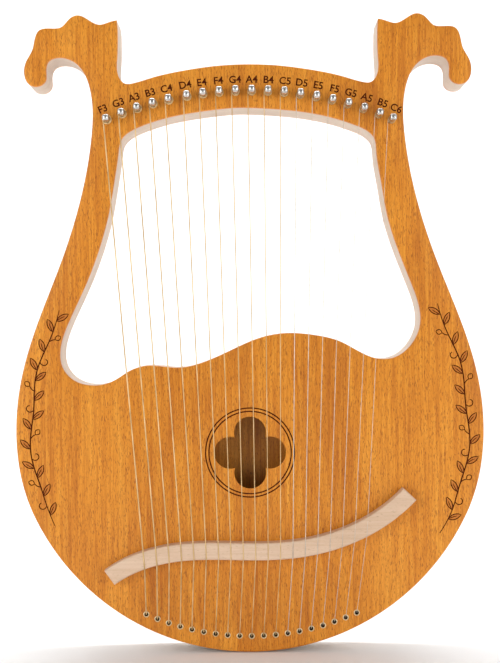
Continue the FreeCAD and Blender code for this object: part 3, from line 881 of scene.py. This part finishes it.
def build_pins(routes):
    """The tuning pins, each with its own turns of string."""
    for note in NOTES:
        low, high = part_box("tuning_pin_" + note)
        place = PINS[note]
        pin = new_object("pin_" + note, *pin_mesh(place, low.y, high.y), [nickel])
        weld(pin)
        smooth(pin, 32)
        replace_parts(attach(pin, "pin_" + note), "tuning_pin_" + note)
        corners, radius = routes[note]
        coil = new_object("coil_" + note, *tube(coil_path(place, corners[0], radius), radius, 10),
                          [bronze_winding])
        smooth(coil)
        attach(coil, "pin_" + note)


def build_fittings(routes):
    """The eyelets in the front panel and the ball ends in the back plate."""
    eyelet_low, eyelet_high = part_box("string_eyelets")
    flange = FRONT - eyelet_low.y
    barrel = eyelet_high.y - FRONT
    bore, outside, edge = 1.45 * MM, 1.85 * MM, 2.35 * MM
    profile = [(bore, -barrel), (bore, flange * 0.3), (1.55 * MM, flange * 0.75), (1.72 * MM, flange),
               (1.95 * MM, flange * 0.92), (2.18 * MM, flange * 0.62), (edge, flange * 0.2), (edge, 0.0),
               (outside, 0.0), (outside, -barrel)]
    ends = [routes[note][0][3] for note in NOTES]
    rings = [turned(profile, Vector((end.x, FRONT, end.z)), 36) for end in ends]
    eyelets = new_object("eyelets", *joined(rings), [eyelet_metal, bore_painted_shade])
    weld(eyelets)
    # Faces behind the panel's front face, the bore and the hidden barrel, take the dark brown: painted shade
    # inside each hole.
    for polygon in eyelets.data.polygons:
        polygon.material_index = int(polygon.center.y > FRONT)
    smooth(eyelets, 50)
    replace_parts(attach(eyelets, "root"), "string_eyelets")

    ball_low, ball_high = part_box("string_ball_ends")
    deep = ball_high.y - ball_low.y
    profile = [(0.6 * MM, -0.2 * MM), (0.6 * MM, 0.2 * MM - deep), (1.0 * MM, -deep), (1.6 * MM, -deep),
               (2.0 * MM, 0.5 * MM - deep), (1.72 * MM, -deep * 0.6), (1.72 * MM, -deep * 0.4),
               (2.0 * MM, -0.5 * MM), (1.6 * MM, 0.0), (1.0 * MM, 0.0)]
    profile = [(radius, height + deep) for radius, height in profile]
    rings = [turned(profile, Vector((end.x, ball_high.y, end.z)), 32) for end in ends]
    balls = new_object("ball_ends", *joined(rings), [brass])
    weld(balls)
    smooth(balls, 50)
    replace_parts(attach(balls, "root"), "string_ball_ends")


# ---------------------------------------------------------------- stage, light and camera


def white_surface(name, grey):
    """A matt pale surface with a barely visible mottle."""
    surface = Surface(name)
    mottle = surface.noise((3, 3, 3), 2)
    surface.set(Base_Color=surface.ramp(mottle, [(0.3, grey - 0.01), (0.7, grey)]), Roughness=0.7)
    return surface.material


def build_stage():
    """A pale floor that curves up into a backdrop."""
    far, near, wide, bend = 1.6, -3.2, 3.5, 0.8
    profile = [(near, 0.0), (far - bend, 0.0)]
    profile += [(far - bend + bend * math.sin(a), bend - bend * math.cos(a))
                for a in (math.pi / 2 * step / 16 for step in range(1, 17))]
    profile.append((far, 3.4))
    points = [Vector((x, y, z - 0.5 * MM)) for y, z in profile for x in (-wide, wide)]
    faces = [(2 * i, 2 * i + 1, 2 * i + 3, 2 * i + 2) for i in range(len(profile) - 1)]
    floor = new_object("floor", points, faces, [white_surface("stage_white", 0.92)])
    smooth(floor, 60)


def area_light(name, place, target, width, height, power):
    """A soft rectangular lamp at a place, turned to face its target."""
    lamp = bpy.data.lights.new(name, "AREA")
    lamp.shape = "RECTANGLE"
    lamp.size = width
    lamp.size_y = height
    lamp.energy = power
    holder = bpy.data.objects.new(name, lamp)
    bpy.context.scene.collection.objects.link(holder)
    holder.location = place
    holder.rotation_euler = (Vector(target) - Vector(place)).to_track_quat("-Z", "Y").to_euler()


def build_light():
    """Two soft boxes in front, low on either side, and a wash on the backdrop."""
    middle = (0, 0, 0.24)
    area_light("key_left", (-1.15, -1.25, 0.3), middle, 0.7, 0.9, 11.8)
    area_light("key_right", (1.15, -1.25, 0.3), middle, 0.7, 0.9, 10.4)
    area_light("backdrop_wash", (0, 0.5, 2.2), (0, 1.6, 0.5), 2.6, 0.6, 45)


def build_world():
    """White light from behind and around, and a darker room behind the camera for the metal to mirror."""
    world = bpy.data.worlds.new("studio")
    world.use_nodes = True
    nodes, links = world.node_tree.nodes, world.node_tree.links
    split = nodes.new("ShaderNodeSeparateXYZ")
    ramp = nodes.new("ShaderNodeMapRange")
    links.new(nodes.new("ShaderNodeTexCoord").outputs["Generated"], split.inputs[0])
    links.new(split.outputs["Y"], ramp.inputs["Value"])
    ramp.inputs["From Min"].default_value = -0.9
    ramp.inputs["From Max"].default_value = 0.3
    ramp.inputs["To Min"].default_value = 0.30
    ramp.inputs["To Max"].default_value = 0.85
    background = nodes["Background"]
    background.inputs["Color"].default_value = (1, 1, 1, 1)
    links.new(ramp.outputs[0], background.inputs["Strength"])
    bpy.context.scene.world = world
    bpy.context.scene.view_settings.view_transform = "Standard"


def build_camera():
    """Straight in front, a little over a metre away, turned by a third of a degree as it was held."""
    centre_x = 0.5 * MM
    height = (PANEL_LOW.z + PANEL_HIGH.z) / 2 + 1 * MM
    distance = 1.0975
    half_angle = math.radians(25.6) / 2
    camera = bpy.data.cameras.new("camera")
    camera.sensor_width = 36
    camera.lens = camera.sensor_width / 2 / math.tan(half_angle)
    holder = bpy.data.objects.new("camera", camera)
    bpy.context.scene.collection.objects.link(holder)
    holder.rotation_mode = "QUATERNION"
    holder.location = (centre_x, FRONT - distance, height)
    facing = Vector((0, 1, 0)).to_track_quat("-Z", "Y")
    roll = Matrix.Rotation(math.radians(0.37), 4, "Y").to_quaternion()
    holder.rotation_quaternion = roll @ facing
    bpy.context.scene.camera = holder


string_routes = {note: string_route(note) for note in NOTES}
build_body()
build_bridge(string_routes)
build_strings(string_routes)
build_pins(string_routes)
build_fittings(string_routes)
build_stage()
build_light()
build_world()
build_camera()
